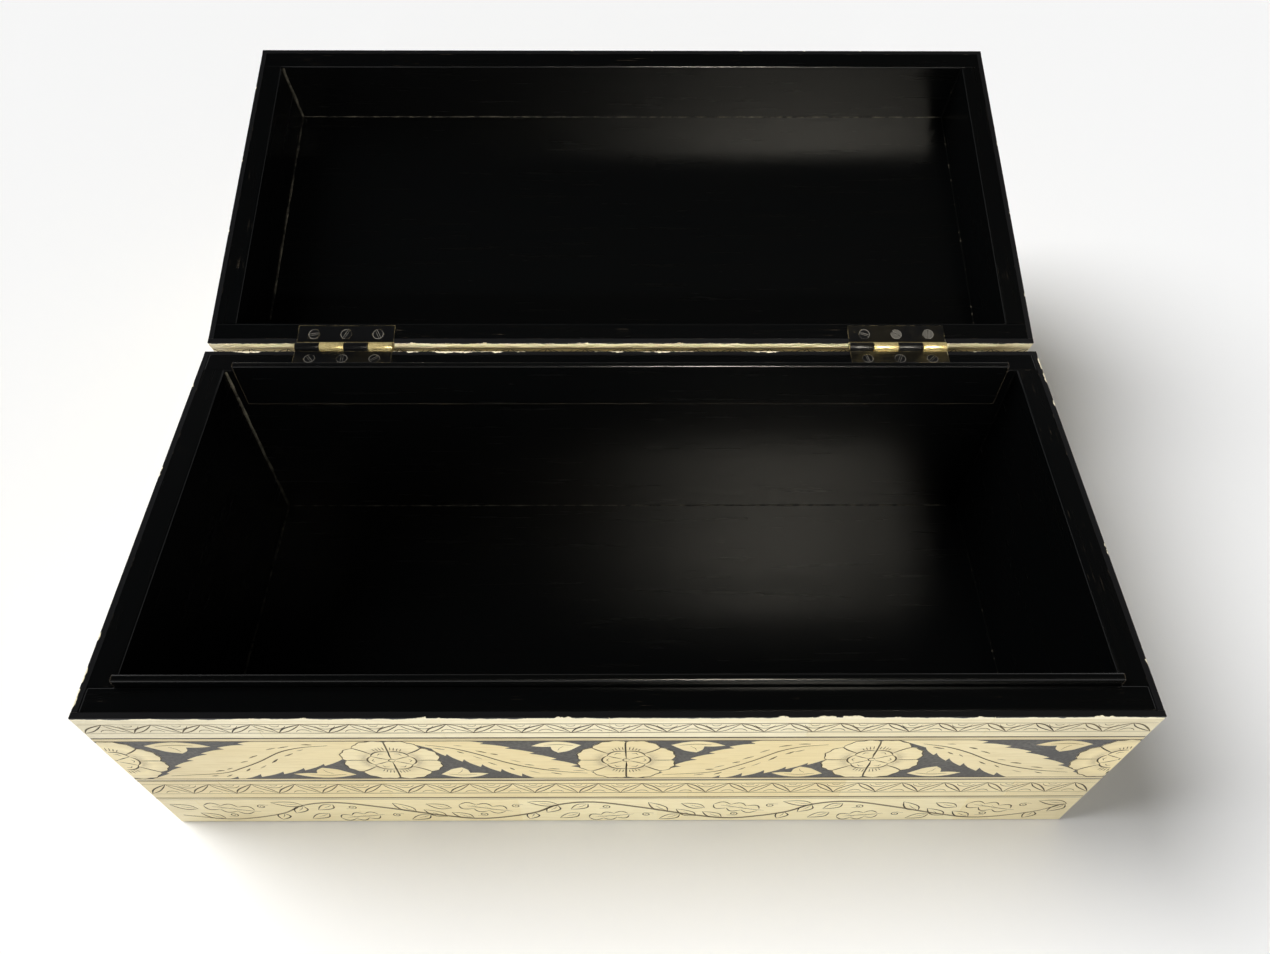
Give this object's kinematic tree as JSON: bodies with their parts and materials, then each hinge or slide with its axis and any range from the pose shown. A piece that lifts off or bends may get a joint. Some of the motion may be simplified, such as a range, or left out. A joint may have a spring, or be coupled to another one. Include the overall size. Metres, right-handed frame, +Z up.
{
  "type": "bone inlaid chest",
  "caption": "Rectangular wooden box with a lid on butt hinges, faced with engraved bone bands round a frieze of bone rosettes and toothed leaves set in black lac.",
  "frame": {"origin": "middle of the base's underside, on the floor", "axes": "+X to the right along the front, +Y to the back where the hinges are, +Z up"},
  "size_m": [0.325, 0.3126, 0.1324],
  "materials": {
    "ebonised_wood": "stained black, worn satin",
    "bone": "polished bone, cream, engraved",
    "lac": "black lac rubbed flush, dull",
    "brass": "tarnished, leaves blackened",
    "screw_steel": "blackened, heads worn bright"
  },
  "bodies": {
    "base": {"base_back_board": "ebonised_wood", "base_back_inlay": "bone", "base_back_lac": "lac", "base_back_lip": "ebonised_wood", "base_back_lower_border": "bone", "base_back_scroll_band": "bone", "base_back_top_border": "bone", "base_bottom_panel": "ebonised_wood", "base_front_board": "ebonised_wood", "base_front_inlay": "bone", "base_front_lac": "lac", "base_front_lip": "ebonised_wood", "base_front_lower_border": "bone", "base_front_scroll_band": "bone", "base_front_top_border": "bone", "base_left_board": "ebonised_wood", "base_left_inlay": "bone", "base_left_lac": "lac", "base_left_lower_border": "bone", "base_left_scroll_band": "bone", "base_left_top_border": "bone", "base_right_board": "ebonised_wood", "base_right_inlay": "bone", "base_right_lac": "lac", "base_right_lower_border": "bone", "base_right_scroll_band": "bone", "base_right_top_border": "bone", "hinge_base_screws": "screw_steel", "left_hinge_base_leaf": "brass", "left_hinge_pin": "brass", "right_hinge_base_leaf": "brass", "right_hinge_pin": "brass"},
    "lid": {"hinge_lid_screws": "screw_steel", "left_hinge_lid_leaf": "brass", "lid_back_board": "ebonised_wood", "lid_back_lac": "lac", "lid_back_rim_border": "bone", "lid_back_scroll_band": "bone", "lid_front_board": "ebonised_wood", "lid_front_lac": "lac", "lid_front_rim_border": "bone", "lid_front_scroll_band": "bone", "lid_left_board": "ebonised_wood", "lid_left_lac": "lac", "lid_left_rim_border": "bone", "lid_left_scroll_band": "bone", "lid_right_board": "ebonised_wood", "lid_right_lac": "lac", "lid_right_rim_border": "bone", "lid_right_scroll_band": "bone", "lid_top_board": "ebonised_wood", "lid_top_border": "bone", "lid_top_inlay": "bone", "lid_top_inner_border": "bone", "lid_top_lac": "lac", "lid_top_scroll_band": "bone", "right_hinge_lid_leaf": "brass"}
  },
  "joints": [
    {"name": "lid_hinge", "type": "hinge", "parent": "base", "child": "lid", "pos_m": [0, 0.078, 0.0922], "axis": [1, 0, 0], "range_deg": [0, 164.8]}
  ]
}
